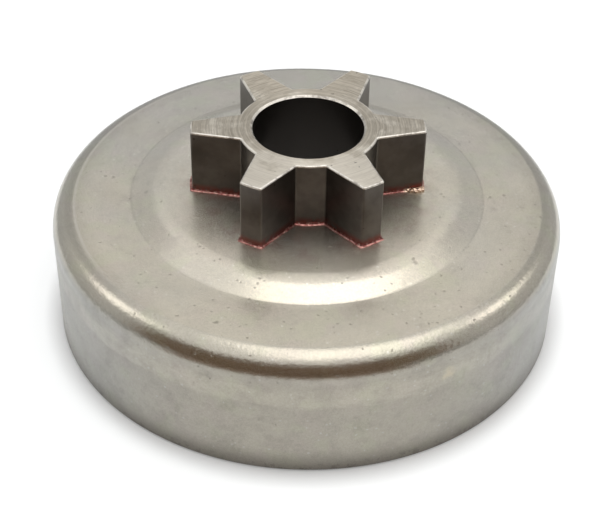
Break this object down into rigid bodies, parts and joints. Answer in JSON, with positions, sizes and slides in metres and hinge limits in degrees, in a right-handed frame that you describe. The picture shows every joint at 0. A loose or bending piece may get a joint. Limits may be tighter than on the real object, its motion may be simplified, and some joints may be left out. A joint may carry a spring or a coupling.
{
  "type": "chainsaw clutch drum",
  "caption": "Drawn steel clutch cup with a stepped top and a small spur sprocket furnace-brazed to its centre, bored for a needle bearing.",
  "frame": {"origin": "centre of the open rim, on the drum's axis, in the plane that the rim stands on", "axes": "+Z along the drum's axis from the open rim to the sprocket; +X through the middle of one tooth"},
  "size_m": [0.0654, 0.0654, 0.0272],
  "materials": {
    "drum_steel": "tumbled satin",
    "sprocket_steel": "machined",
    "copper": "furnace-brazed copper"
  },
  "bodies": {
    "root": {"drum_cup": "drum_steel", "spur_sprocket": "sprocket_steel", "copper_braze": "copper"}
  },
  "joints": []
}
